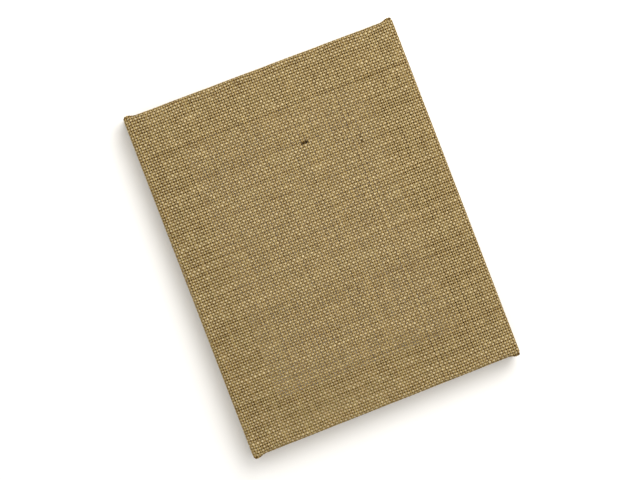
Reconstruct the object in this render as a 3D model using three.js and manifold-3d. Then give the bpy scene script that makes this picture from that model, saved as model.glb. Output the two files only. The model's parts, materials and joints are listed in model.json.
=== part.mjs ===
// Ring bearer pillow of the flat, firm kind: a panel of burlap stretched over a small wooden
// stretcher frame. It lies on its back, with the burlap face up.
//
// Frame: millimetres, +Z up. X runs across the panel, Y along it. The origin is the middle of
// the panel, on the surface that its four folded corners rest on.
//
// The wooden frame is four mitred bars. The two end bars carry a tongue at each end, which
// sits in the slot of the side bar next to it, and a corrugated fastener locks each corner
// from behind. The burlap is one rectangle of cloth. Its side flaps are folded round first.
// At each corner the spare cloth is tucked under the end flap, so the end face is two layers
// thicker there, and the corner stands a little proud as an ear. Staples hold the flaps.

import * as THREE from "three";
import { mergeVertices } from "three/addons/utils/BufferGeometryUtils.js";
import Module from "manifold-3d";

// ---- Driving dimensions ----

// Wooden frame
const FRAME_WIDTH = 202.2; // outside, along X: sold as 8 in, and cut 1 mm under it
const FRAME_LENGTH = 254; // outside, along Y: 10 in
const BAR_WIDTH = 30;
const BAR_DEPTH = 16;
const LIP_WIDTH = 6; // flat strip along the outer edge that carries the cloth
const BEVEL_DROP = 2; // the front slopes down by this much towards the inner edge
const BAR_EDGE_RADIUS = 2; // outer front edge, which the cloth turns over
const TONGUE_THICKNESS = 5;
const TONGUE_CLEARANCE = 0.2; // above and below the tongue, and past its end
const MITRE_GAP = 0.3; // between two bars, measured across the mitre

// Burlap
const CLOTH_THICKNESS = 1;
const FOLDED_LAYER = 0.8; // a layer that is pressed inside a fold
const CLOTH_GAP = 0.3; // between the cloth and the wood
const FLAP_WIDTH = 23; // what is folded onto the back, from the outer edge
const TUCKED_LAYERS = 2; // spare layers under each end of an end flap
const EAR_REACH = 9; // how far an ear runs in from the corner
const EAR_RADIUS = 1.4; // its rounded tip

// Staples that hold the burlap
const STAPLE_CROWN = 10;
const STAPLE_LEG = 8;
const WIRE_THICKNESS = 0.6;
const WIRE_WIDTH = 1.2;
const WIRE_BEND_RADIUS = 0.5;
const STAPLE_POINT = 1; // length of the chisel point
const STAPLE_INSET = 14; // from the outer edge of the frame to a row of staples
const CORNER_STAPLE_INSET = 8; // from both outer edges to a corner's own staple
const END_STAPLES = 4;
const SIDE_STAPLES = 5;
const END_STAPLE_MARGIN = 42; // from the end of a row's bar to its outermost staple
const SIDE_STAPLE_MARGIN = 37;
const CROWN_SINK = 0.8; // how deep a corner's staple is pressed into the folded cloth

// Corrugated fasteners across the mitres
const FASTENER_LENGTH = 20;
const FASTENER_DEPTH = 9;
const FASTENER_THICKNESS = 0.8;
const FASTENER_WAVES = 3;
const FASTENER_AMPLITUDE = 1.1;
const METAL_CLEARANCE = 0.3; // round each leg and fastener, in wood and in cloth

// ---- Sizes that follow ----

const PAD_THICKNESS = (TUCKED_LAYERS + 1) * FOLDED_LAYER; // below the side flap, at a corner
const FLAP_BOTTOM = PAD_THICKNESS;
const BAR_BACK = FLAP_BOTTOM + CLOTH_THICKNESS + CLOTH_GAP;
const WRAP = CLOTH_THICKNESS + CLOTH_GAP; // how far the cloth's outside lies from the wood
const HALF_WIDTH = FRAME_WIDTH / 2 + WRAP;
const HALF_LENGTH = FRAME_LENGTH / 2 + WRAP;
const FACE_TOP = BAR_BACK + BAR_DEPTH + WRAP;
const EAR_HEIGHT = TUCKED_LAYERS * FOLDED_LAYER;
const TONGUE_BOTTOM = (BAR_DEPTH - TONGUE_THICKNESS) / 2;
const TONGUE_TOP = TONGUE_BOTTOM + TONGUE_THICKNESS;

const OVERCUT = 1; // how far a cutting body runs past what it cuts
const ARC_SEGMENTS = 6;
const WAVE_STEPS = 10; // straight stretches in one wave of a fastener

const wasm = await Module();
wasm.setup();

// ---- Solids ----

/** A closed geometry as a manifold-3d solid. */
function solidOf(geometry) {
  const bare = geometry.clone();
  bare.deleteAttribute("normal");
  bare.deleteAttribute("uv");
  const merged = mergeVertices(bare, 1e-4);
  return new wasm.Manifold(
    new wasm.Mesh({
      numProp: 3,
      vertProperties: merged.attributes.position.array,
      triVerts: new Uint32Array(merged.index.array),
    }),
  );
}

/** A solid's surface as a geometry with flat faces. */
function geometryOf(solid) {
  const { numProp, numVert, vertProperties, triVerts } = solid.getMesh();
  const places = new Float32Array(numVert * 3);
  for (let i = 0; i < numVert; i++) {
    places.set(vertProperties.subarray(i * numProp, i * numProp + 3), i * 3);
  }
  const made = new THREE.BufferGeometry()
    .setAttribute("position", new THREE.BufferAttribute(places, 3))
    .setIndex(new THREE.BufferAttribute(triVerts, 1))
    .toNonIndexed();
  made.computeVertexNormals();
  return made;
}

const AXIS = {
  x: new THREE.Vector3(1, 0, 0),
  y: new THREE.Vector3(0, 1, 0),
  z: new THREE.Vector3(0, 0, 1),
};

/** An outline drawn in X and Y, made solid from one height to another. */
function upright(shape, from, to) {
  return new THREE.ExtrudeGeometry(shape, {
    depth: to - from,
    bevelEnabled: false,
    curveSegments: ARC_SEGMENTS,
  }).translate(0, 0, from);
}

/** An outline drawn in Y and Z, made solid along X over a length centred on the origin. */
function alongX(shape, length) {
  return upright(shape, -length / 2, length / 2).applyMatrix4(
    new THREE.Matrix4().makeBasis(AXIS.y, AXIS.z, AXIS.x),
  );
}

/** An outline drawn in X and Z, made solid along Y over a length centred on the origin. */
function alongY(shape, length) {
  return upright(shape, -length / 2, length / 2).applyMatrix4(
    new THREE.Matrix4().makeBasis(AXIS.x, AXIS.z, AXIS.y.clone().negate()),
  );
}

/** A closed outline through points given as [x, y]. */
function outline(points) {
  return new THREE.Shape(points.map(([x, y]) => new THREE.Vector2(x, y)));
}

function rectangle(x0, x1, y0, y1) {
  return outline([
    [x0, y0],
    [x1, y0],
    [x1, y1],
    [x0, y1],
  ]);
}

/** A rectangle about the vertical axis, with one radius at its lower and one at its upper corners. */
function roundedSection(half, bottom, top, lowRadius, highRadius) {
  const shape = new THREE.Shape();
  const quarter = Math.PI / 2;
  shape.moveTo(-half + lowRadius, bottom);
  shape.lineTo(half - lowRadius, bottom);
  shape.absarc(half - lowRadius, bottom + lowRadius, lowRadius, -quarter, 0);
  shape.lineTo(half, top - highRadius);
  shape.absarc(half - highRadius, top - highRadius, highRadius, 0, quarter);
  shape.lineTo(-half + highRadius, top);
  shape.absarc(-half + highRadius, top - highRadius, highRadius, quarter, 2 * quarter);
  shape.lineTo(-half, bottom + lowRadius);
  shape.absarc(-half + lowRadius, bottom + lowRadius, lowRadius, 2 * quarter, 3 * quarter);
  return shape;
}

/** A place in the panel: a move, and a turn about the vertical. */
function placement(x, y, z, turn) {
  return new THREE.Matrix4()
    .makeRotationZ(turn)
    .setPosition(x, y, z);
}

/** What is left of a piece, drawn in its own frame, when bodies in the panel's frame are cut away. */
function cutInPlace(solid, place, bodies) {
  const back = place.clone().invert().toArray();
  return bodies.reduce((left, body) => left.subtract(body.transform(back)), solid);
}

// ---- Staples ----

/** A staple: crown along X with its inner face at height 0, and legs that point up. */
function stapleGeometry() {
  const half = STAPLE_CROWN / 2 + WIRE_THICKNESS;
  const inner = STAPLE_CROWN / 2;
  const shape = new THREE.Shape();
  shape.moveTo(-half, STAPLE_LEG);
  shape.lineTo(-half, WIRE_BEND_RADIUS - WIRE_THICKNESS);
  shape.absarc(
    -half + WIRE_BEND_RADIUS, WIRE_BEND_RADIUS - WIRE_THICKNESS, WIRE_BEND_RADIUS,
    Math.PI, 1.5 * Math.PI,
  );
  shape.lineTo(half - WIRE_BEND_RADIUS, -WIRE_THICKNESS);
  shape.absarc(
    half - WIRE_BEND_RADIUS, WIRE_BEND_RADIUS - WIRE_THICKNESS, WIRE_BEND_RADIUS,
    1.5 * Math.PI, 2 * Math.PI,
  );
  shape.lineTo(half, STAPLE_LEG);
  shape.lineTo(inner, STAPLE_LEG - STAPLE_POINT);
  shape.lineTo(inner, 0);
  shape.lineTo(-inner, 0);
  shape.lineTo(-inner, STAPLE_LEG - STAPLE_POINT);
  return alongY(shape, WIRE_WIDTH);
}

/** The room that a staple's two legs need, and its crown too if it is sunk. */
function stapleRoom(place, sunk) {
  const leg = new THREE.BoxGeometry(
    WIRE_THICKNESS + 2 * METAL_CLEARANCE,
    WIRE_WIDTH + 2 * METAL_CLEARANCE,
    STAPLE_LEG + METAL_CLEARANCE + OVERCUT,
  );
  const side = (STAPLE_CROWN + WIRE_THICKNESS) / 2;
  const middle = (STAPLE_LEG + METAL_CLEARANCE - OVERCUT) / 2;
  const rooms = [-side, side].map((x) => leg.clone().translate(x, 0, middle));
  if (sunk) {
    const crown = new THREE.BoxGeometry(
      STAPLE_CROWN + 2 * (WIRE_THICKNESS + METAL_CLEARANCE),
      WIRE_WIDTH + 2 * METAL_CLEARANCE,
      CROWN_SINK + OVERCUT,
    );
    rooms.push(crown.translate(0, 0, -(CROWN_SINK + OVERCUT) / 2));
  }
  return rooms.map((room) => solidOf(room.applyMatrix4(place)));
}

/** Evenly spaced places, from one margin of a length to the other, about its middle. */
function spread(count, length, margin) {
  const span = length - 2 * margin;
  return Array.from({ length: count }, (_, i) => -span / 2 + (span * i) / (count - 1));
}

/** Every staple: its name, its place, and whether it is sunk in folded cloth. */
function stapleList() {
  const rowX = FRAME_WIDTH / 2 - STAPLE_INSET;
  const rowY = FRAME_LENGTH / 2 - STAPLE_INSET;
  const along = spread(END_STAPLES, FRAME_WIDTH, END_STAPLE_MARGIN);
  const down = spread(SIDE_STAPLES, FRAME_LENGTH, SIDE_STAPLE_MARGIN);
  const level = FLAP_BOTTOM;
  const quarter = Math.PI / 2;
  const rows = [
    ...along.map((x, i) => ["top", i, placement(x, rowY, level, 0)]),
    ...along.map((x, i) => ["bottom", i, placement(x, -rowY, level, 0)]),
    ...down.map((y, i) => ["left", i, placement(-rowX, y, level, quarter)]),
    ...down.map((y, i) => ["right", i, placement(rowX, y, level, quarter)]),
  ].map(([row, i, place]) => ({ name: `staple_${row}_${i + 1}`, place, sunk: false }));
  const corners = CORNERS.map(({ name, sx, sy }) => ({
    name: `staple_corner_${name}`,
    place: placement(
      sx * (FRAME_WIDTH / 2 - CORNER_STAPLE_INSET),
      sy * (FRAME_LENGTH / 2 - CORNER_STAPLE_INSET),
      CROWN_SINK,
      (-sx * sy * Math.PI) / 4,
    ),
    sunk: true,
  }));
  return [...rows, ...corners];
}

const CORNERS = [
  { name: "top_right", sx: 1, sy: 1, turn: 0 },
  { name: "top_left", sx: -1, sy: 1, turn: Math.PI / 2 },
  { name: "bottom_left", sx: -1, sy: -1, turn: Math.PI },
  { name: "bottom_right", sx: 1, sy: -1, turn: -Math.PI / 2 },
];

// ---- Corrugated fasteners ----

/** A wavy strip about the origin, standing from height 0. grow widens it all round for its slot. */
function fastenerGeometry(grow) {
  const length = FASTENER_LENGTH + 2 * grow;
  const half = FASTENER_THICKNESS / 2 + grow;
  const steps = FASTENER_WAVES * WAVE_STEPS;
  const pitch = (2 * Math.PI * FASTENER_WAVES) / FASTENER_LENGTH;
  const side = (sign) =>
    Array.from({ length: steps + 1 }, (_, i) => {
      const x = -length / 2 + (length * i) / steps;
      const slope = FASTENER_AMPLITUDE * pitch * Math.cos(pitch * x);
      const away = (sign * half) / Math.hypot(1, slope);
      return [x - away * slope, FASTENER_AMPLITUDE * Math.sin(pitch * x) + away];
    });
  return upright(
    outline([...side(-1), ...side(1).reverse()]),
    grow ? -OVERCUT : 0,
    FASTENER_DEPTH + grow,
  );
}

/** Where a corner's fastener sits: across the middle of the mitre, flush with the wood's back. */
function fastenerPlace({ sx, sy, turn }) {
  return placement(
    sx * (FRAME_WIDTH - BAR_WIDTH) / 2,
    sy * (FRAME_LENGTH - BAR_WIDTH) / 2,
    BAR_BACK,
    turn - Math.PI / 4,
  );
}

// ---- Stretcher bars ----

/** The section of a bar: Y from its inner edge outwards, Z up from its back. */
function barSection() {
  const shape = new THREE.Shape();
  shape.moveTo(0, 0);
  shape.lineTo(BAR_WIDTH, 0);
  shape.lineTo(BAR_WIDTH, BAR_DEPTH - BAR_EDGE_RADIUS);
  shape.absarc(
    BAR_WIDTH - BAR_EDGE_RADIUS, BAR_DEPTH - BAR_EDGE_RADIUS, BAR_EDGE_RADIUS,
    0, Math.PI / 2,
  );
  shape.lineTo(BAR_WIDTH - LIP_WIDTH, BAR_DEPTH);
  shape.lineTo(0, BAR_DEPTH - BEVEL_DROP);
  return shape;
}

/** A bar along X, as long as its side of the frame, with its inner edge at y 0 and its back at z 0. */
function barSolid(length, tongued) {
  const outer = length / 2 - MITRE_GAP / Math.SQRT2;
  const inner = outer - BAR_WIDTH;
  const mitred = outline([
    [-inner, 0],
    [inner, 0],
    [outer + OVERCUT, BAR_WIDTH + OVERCUT],
    [-outer - OVERCUT, BAR_WIDTH + OVERCUT],
  ]);
  const reach = tongued
    ? length / 2 - TONGUE_CLEARANCE
    : length / 2 - BAR_WIDTH - TONGUE_CLEARANCE;
  const play = tongued ? 0 : TONGUE_CLEARANCE;
  const low = TONGUE_BOTTOM - play;
  const high = TONGUE_TOP + play;
  const square = rectangle(-reach, reach, -OVERCUT, BAR_WIDTH + OVERCUT);
  const plan = solidOf(upright(mitred, -OVERCUT, low))
    .add(solidOf(upright(square, low, high)))
    .add(solidOf(upright(mitred, high, BAR_DEPTH + OVERCUT)));
  return solidOf(alongX(barSection(), length + 2 * OVERCUT)).intersect(plan);
}

/** The four bars: the end bars have tongues, the side bars have slots. */
function barList() {
  const x = FRAME_WIDTH / 2 - BAR_WIDTH;
  const y = FRAME_LENGTH / 2 - BAR_WIDTH;
  return [
    { name: "end_bar_top", length: FRAME_WIDTH, tongued: true, at: [0, y], turn: 0 },
    { name: "end_bar_bottom", length: FRAME_WIDTH, tongued: true, at: [0, -y], turn: Math.PI },
    { name: "side_bar_left", length: FRAME_LENGTH, tongued: false, at: [-x, 0], turn: Math.PI / 2 },
    { name: "side_bar_right", length: FRAME_LENGTH, tongued: false, at: [x, 0], turn: -Math.PI / 2 },
  ];
}

// ---- Burlap ----

/** The space inside a box whose edges are rounded where it turns over each side. */
function roundedBox(halfX, halfY, bottom, top, lowRadius, highRadius) {
  const across = roundedSection(halfX, bottom, top, lowRadius, highRadius);
  const lengthways = roundedSection(halfY, bottom, top, lowRadius, highRadius);
  return solidOf(alongY(across, 2 * halfY + 2 * OVERCUT)).intersect(
    solidOf(alongX(lengthways, 2 * halfX + 2 * OVERCUT)),
  );
}

/** The plan of one ear, for the corner at +X and +Y, biting into the end wall behind it. */
function earOutline() {
  const bite = CLOTH_THICKNESS / 2;
  const start = HALF_WIDTH - EAR_REACH;
  const peak = HALF_LENGTH + EAR_HEIGHT;
  const shape = new THREE.Shape();
  shape.moveTo(start, HALF_LENGTH - bite);
  shape.lineTo(HALF_WIDTH, HALF_LENGTH - bite);
  shape.lineTo(HALF_WIDTH, peak - EAR_RADIUS);
  shape.absarc(HALF_WIDTH - EAR_RADIUS, peak - EAR_RADIUS, EAR_RADIUS, 0, Math.PI / 2);
  shape.bezierCurveTo(
    HALF_WIDTH - EAR_REACH / 2, peak,
    HALF_WIDTH - EAR_REACH / 2, HALF_LENGTH,
    start, HALF_LENGTH,
  );
  return shape;
}

/** The ears and the folded pads behind them, at all four corners. */
function cornerFolds() {
  const inside = HALF_LENGTH - FLAP_WIDTH;
  const earSpace = roundedBox(
    HALF_WIDTH, HALF_LENGTH + EAR_HEIGHT, 0, FACE_TOP,
    WRAP, BAR_EDGE_RADIUS + WRAP,
  );
  const ear = solidOf(upright(earOutline(), 0, FACE_TOP)).intersect(earSpace);
  // The tuck's free edge runs off at 45 degrees, so the pad is wider at the flap's raw edge.
  const pad = solidOf(
    upright(
      outline([
        [HALF_WIDTH + OVERCUT, HALF_LENGTH],
        [HALF_WIDTH - BAR_DEPTH, HALF_LENGTH],
        [HALF_WIDTH - BAR_DEPTH - FLAP_WIDTH, inside],
        [HALF_WIDTH + OVERCUT, inside],
      ]),
      0,
      FLAP_BOTTOM + CLOTH_THICKNESS / 2,
    ),
  ).intersect(earSpace);
  const corner = ear.add(pad);
  const ends = corner.add(corner.mirror([1, 0, 0]));
  return ends.add(ends.mirror([0, 1, 0]));
}

/** The burlap as one solid: face, four sides, the flaps on the back, and the corner folds. */
function coverSolid(rooms) {
  const outer = roundedBox(
    HALF_WIDTH, HALF_LENGTH, FLAP_BOTTOM, FACE_TOP,
    WRAP, BAR_EDGE_RADIUS + WRAP,
  );
  const inner = roundedBox(
    HALF_WIDTH - CLOTH_THICKNESS, HALF_LENGTH - CLOTH_THICKNESS,
    FLAP_BOTTOM + CLOTH_THICKNESS, FACE_TOP - CLOTH_THICKNESS,
    CLOTH_GAP, BAR_EDGE_RADIUS + CLOTH_GAP,
  );
  const x = HALF_WIDTH - FLAP_WIDTH;
  const y = HALF_LENGTH - FLAP_WIDTH;
  const behind = solidOf(
    upright(rectangle(-x, x, -y, y), -OVERCUT, FLAP_BOTTOM + CLOTH_THICKNESS + OVERCUT),
  );
  const wrapped = outer.add(cornerFolds()).subtract(inner).subtract(behind);
  return rooms.reduce((left, room) => left.subtract(room), wrapped);
}

// ---- Materials ----

const burlap = new THREE.MeshStandardMaterial({ color: 0xa48a5e, roughness: 0.95, metalness: 0 });
const pine = new THREE.MeshStandardMaterial({ color: 0xd9b98a, roughness: 0.7, metalness: 0 });
const steel = new THREE.MeshStandardMaterial({ color: 0xb9bcc0, roughness: 0.35, metalness: 1 });

// ---- The panel ----

/** A named mesh at its place in the panel. */
function pieceOf(name, geometry, material, place) {
  const mesh = new THREE.Mesh(geometry, material);
  mesh.name = name;
  place.decompose(mesh.position, mesh.quaternion, mesh.scale);
  return mesh;
}

const staples = stapleList();
const stapleRooms = staples.flatMap(({ place, sunk }) => stapleRoom(place, sunk));
const fastenerSlots = CORNERS.map((corner) =>
  solidOf(fastenerGeometry(METAL_CLEARANCE).applyMatrix4(fastenerPlace(corner))),
);

const frame = new THREE.Group();
for (const { name, length, tongued, at, turn } of barList()) {
  const place = placement(at[0], at[1], BAR_BACK, turn);
  const cut = cutInPlace(barSolid(length, tongued), place, [...stapleRooms, ...fastenerSlots]);
  frame.add(pieceOf(name, geometryOf(cut), pine, place));
}
for (const corner of CORNERS) {
  const name = `corner_fastener_${corner.name}`;
  frame.add(pieceOf(name, fastenerGeometry(0), steel, fastenerPlace(corner)));
}

const cover = new THREE.Group();
cover.add(
  pieceOf("burlap_cover", geometryOf(coverSolid(stapleRooms)), burlap, new THREE.Matrix4()),
);
for (const { name, place } of staples) {
  cover.add(pieceOf(name, stapleGeometry(), steel, place));
}

const panel = new THREE.Group();
panel.add(frame, cover);

export default panel;
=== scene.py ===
"""Looks of a flat ring bearer pillow: burlap stretched over a small wooden frame.

The bars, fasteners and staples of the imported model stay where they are, and get their finishes
here. The burlap's plain solid is replaced by its yarns. They are woven over and under each
other along the same surface, from the raw edge of one flap to that of the opposite flap.

The cloth is followed in its own two lengths, measured along its middle layer from the centre of
the face: `a` across the panel and `b` along it. A point that is past the edge of the face lies
on the side or on the flap behind it. All lengths are in metres.
"""

import json
import logging
import math
from collections.abc import Callable
from dataclasses import dataclass, field, replace
from enum import Enum
from typing import Any

import bpy
import numpy as np
from mathutils import Matrix, Vector
from numpy.typing import NDArray

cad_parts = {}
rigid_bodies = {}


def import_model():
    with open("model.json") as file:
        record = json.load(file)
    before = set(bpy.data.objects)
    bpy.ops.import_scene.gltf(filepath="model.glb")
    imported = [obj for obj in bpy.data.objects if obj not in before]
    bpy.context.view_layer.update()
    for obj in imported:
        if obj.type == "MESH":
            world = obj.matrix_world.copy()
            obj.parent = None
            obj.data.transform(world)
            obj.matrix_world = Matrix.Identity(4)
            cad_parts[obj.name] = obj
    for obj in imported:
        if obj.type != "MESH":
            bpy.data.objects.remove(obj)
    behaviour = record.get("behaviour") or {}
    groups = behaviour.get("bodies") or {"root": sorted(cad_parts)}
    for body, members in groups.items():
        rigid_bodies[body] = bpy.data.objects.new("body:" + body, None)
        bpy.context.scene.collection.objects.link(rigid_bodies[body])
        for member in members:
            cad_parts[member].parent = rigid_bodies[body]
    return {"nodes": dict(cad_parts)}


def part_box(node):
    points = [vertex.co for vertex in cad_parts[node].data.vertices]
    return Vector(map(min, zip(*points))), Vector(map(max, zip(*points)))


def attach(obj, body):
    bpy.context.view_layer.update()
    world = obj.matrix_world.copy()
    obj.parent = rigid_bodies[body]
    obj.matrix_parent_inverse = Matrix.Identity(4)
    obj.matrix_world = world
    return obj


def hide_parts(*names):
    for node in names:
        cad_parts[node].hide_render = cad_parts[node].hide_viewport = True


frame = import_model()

Array = NDArray[np.float64]
Placed = tuple[Array, Array]  # points, and the directions that the cloth faces there
Triple = tuple[float, float, float]
Colour = Triple  # linear red, green and blue
Piece = bpy.types.Object
Material = bpy.types.Material

MM = 0.001
BODY = "root"
COVER_NODE = "burlap_cover"
BAKE_MAP = "OFBake"

log = logging.getLogger("ring_bearer_pillow")


# ---- Shader maths ----


@dataclass(frozen=True, eq=False)
class Value:
    """A node's output that adds Math nodes when it is used in an expression."""

    shader: "Shader"  # the tree that new nodes go into
    socket: bpy.types.NodeSocket  # the output that this value stands for

    def _math(self, operation: str, first: "Value | float", second: "Value | float") -> "Value":
        """Adds one Math node with these inputs."""
        return self.shader.node("ShaderNodeMath", {0: first, 1: second}, operation=operation)

    def __add__(self, other: "Value | float") -> "Value":
        """This value plus the other."""
        return self._math("ADD", self, other)

    def __radd__(self, other: float) -> "Value":
        """A number plus this value."""
        return self._math("ADD", other, self)

    def __sub__(self, other: "Value | float") -> "Value":
        """This value less the other."""
        return self._math("SUBTRACT", self, other)

    def __rsub__(self, other: float) -> "Value":
        """A number less this value."""
        return self._math("SUBTRACT", other, self)

    def __mul__(self, other: "Value | float") -> "Value":
        """This value times the other."""
        return self._math("MULTIPLY", self, other)

    def __rmul__(self, other: float) -> "Value":
        """A number times this value."""
        return self._math("MULTIPLY", other, self)

    def __pow__(self, power: float) -> "Value":
        """This value raised to a power."""
        return self._math("POWER", self, power)

    def within(self, low: float, high: float) -> "Value":
        """This value mapped so that low gives 0 and high gives 1, and kept between them."""
        inputs = {"Value": self, "From Min": low, "From Max": high}
        return self.shader.node("ShaderNodeMapRange", inputs, interpolation_type="SMOOTHSTEP")


class Shader:
    """A material's node tree."""

    def __init__(self, name: str) -> None:
        """Makes the material with its usual surface shader.

        Args:
            name: the material's name.
        """
        self.material = bpy.data.materials.new(name)
        self.material.use_nodes = True
        self.tree = self.material.node_tree
        self.surface = self.tree.nodes["Principled BSDF"]

    @staticmethod
    def _find(sockets: Any, key: int | str) -> bpy.types.NodeSocket:
        """Finds the socket with a number, or the first one in use with a name."""
        named = (s for s in sockets if s.name == key and s.enabled)
        return sockets[key] if isinstance(key, int) else next(named)

    def _fill(self, socket: bpy.types.NodeSocket, value: Any) -> None:
        """Links a value to an input, or sets a plain number, vector or colour on it.

        Args:
            socket: the input.
            value: what it holds or is linked to.
        """
        if isinstance(value, Value):
            self.tree.links.new(value.socket, socket)
        elif socket.type == "RGBA" and len(value) == 3:
            socket.default_value = (*value, 1.0)
        else:
            socket.default_value = value

    def node(
        self,
        kind: str,
        inputs: dict[int | str, Any] | None = None,
        output: int | str = 0,
        **settings: Any,
    ) -> Value:
        """Adds any node.

        Args:
            kind: the node's type.
            inputs: what each input holds or is linked to.
            output: the output that is wanted.
            **settings: the node's settings, which are set before its inputs.

        Returns:
            That output.
        """
        made = self.tree.nodes.new(kind)
        for name, value in settings.items():
            setattr(made, name, value)
        for key, value in (inputs or {}).items():
            self._fill(self._find(made.inputs, key), value)
        return Value(self, self._find(made.outputs, output))

    def mix(self, amount: Value | float, low: Value | Colour, high: Value | Colour) -> Value:
        """A colour that goes from low to high as the amount goes from 0 to 1."""
        inputs = {"Factor": amount, "A": low, "B": high}
        return self.node("ShaderNodeMix", inputs, "Result", data_type="RGBA")

    def shade(self, colour: Value | Colour, amount: Value) -> Value:
        """A colour times an amount."""
        inputs = {"Vector": colour, "Scale": amount}
        return self.node("ShaderNodeVectorMath", inputs, "Vector", operation="SCALE")

    def noise(self, vector: Value, scale: float, detail: float = 2.0) -> Value:
        """Cloudy noise from 0 to 1 at that many clouds a unit."""
        inputs = {"Vector": vector, "Scale": scale, "Detail": detail}
        return self.node("ShaderNodeTexNoise", inputs, "Fac")

    def stretched(self, vector: Value, scale: Triple) -> Value:
        """Coordinates scaled differently along each axis."""
        return self.node("ShaderNodeMapping", {"Vector": vector, "Scale": scale})

    def objects(self) -> Value:
        """Object coordinates, in metres."""
        return self.node("ShaderNodeTexCoord", output="Object")

    def attribute(self, name: str) -> Value:
        """A number that the mesh holds at each point."""
        return self.node("ShaderNodeAttribute", output="Fac", attribute_name=name)

    def finish(
        self, let_through: float = 0.0, glow: Colour = (1.0, 1.0, 1.0), **inputs: Any
    ) -> Material:
        """Sets the surface's inputs, named with _ for each space.

        Args:
            let_through: share of the light that goes through.
            glow: the colour that it takes on.
            **inputs: numbers, colours or values.

        Returns:
            The material.
        """
        for name, value in inputs.items():
            self._fill(self._find(self.surface.inputs, name.replace("_", " ")), value)
        if let_through > 0.0:
            front = Value(self, self.surface.outputs[0])
            behind = self.node("ShaderNodeBsdfTranslucent", {"Color": glow})
            both = self.node("ShaderNodeMixShader", {0: let_through, 1: front, 2: behind})
            self._fill(self.tree.nodes["Material Output"].inputs["Surface"], both)
        return self.material

    def bump(self, height: Value, distance: float, strength: float = 1.0) -> Value:
        """A normal that a height in units of distance tilts."""
        inputs = {"Strength": strength, "Distance": distance, "Height": height}
        return self.node("ShaderNodeBump", inputs, "Normal")


# ---- Finishes ----


@dataclass(frozen=True)
class BurlapFinish:
    """Undyed jute yarn: straw brown, with painted shade in deep brown where it dips and a painted
    highlight, paler, where it rides over.
    """

    dark: Colour
    body: Colour
    # painted highlight: what the crowns are lifted towards, where the yarn rides over
    pale: Colour
    deep: Colour = (0.075, 0.029, 0.001)  # painted shade, down between the yarns
    bark: Colour = (0.006, 0.003, 0.001)
    greying: Triple = (0.88, 1.03, 1.08)  # what its cooler patches are multiplied by
    cool: float = 0.5  # how far they lean that way
    patch_scale: float = 60.0  # patches a metre
    speck_scale: float = 420.0  # pale specks a metre
    roughness: float = 0.84
    uneven_roughness: float = 0.16
    sheen: float = 0.04
    nap: float = 0.09 * MM  # how far its fibres stand out
    glow: Colour = (0.95, 0.64, 0.17)  # of the light that comes through it
    let_through: float = 0.22
    fibres_across: float = 5.0  # round one yarn
    fibres_along: float = 36.0  # in one yarn's length
    turns: float = 54.0  # of twist in one yarn's length

    def material(self, name: str, yarns: int) -> Material:
        """Makes the material.

        Args:
            name: its name.
            yarns: how many yarns a bundle's map holds.

        Returns:
            The material, which reads the yarns' own tone, crown and map.
        """
        s = Shader(name)
        place = s.objects()
        own = s.node("ShaderNodeUVMap", uv_map=BAKE_MAP)
        run, around = (s.node("ShaderNodeSeparateXYZ", {0: own}, axis) for axis in "XY")
        twist = (around * float(yarns) + run * self.turns) * self.fibres_across
        twisted = s.node("ShaderNodeCombineXYZ", {"X": run * self.fibres_along, "Y": twist})
        fibres = s.noise(twisted, 1.0, 3.0)
        patches = s.noise(place, self.patch_scale)
        specks = s.noise(place, self.speck_scale, 1.0)
        crown, tone = s.attribute("crown"), s.attribute("tone")
        grey = tuple(c * k for c, k in zip(self.body, self.greying))
        hue = s.mix(patches.within(0.35, 0.65) * self.cool, self.body, grey)
        toned = s.mix(tone + fibres * 0.5 - 0.25, self.dark, hue)
        # painted shade: deep brown where the yarn dips towards the cloth's middle layer
        shaded = s.mix(crown.within(0.2, 1.0), self.deep, toned)
        # painted highlight: paler on the crowns, with pale specks there
        with_painted_highlight = s.mix(crown**2.0 * (fibres + specks * 0.8 - 0.15), shaded, self.pale)
        return s.finish(
            let_through=self.let_through,
            glow=self.glow,
            Base_Color=s.mix(tone * -1.0, with_painted_highlight, self.bark),
            Roughness=fibres * self.uneven_roughness + (self.roughness - self.uneven_roughness / 2),
            Specular_IOR_Level=self.sheen,
            Normal=s.bump(fibres, self.nap),
        )


class Grain(Enum):
    """Which way a bar's grain runs."""

    ACROSS = 0
    ALONG = 1


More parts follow.
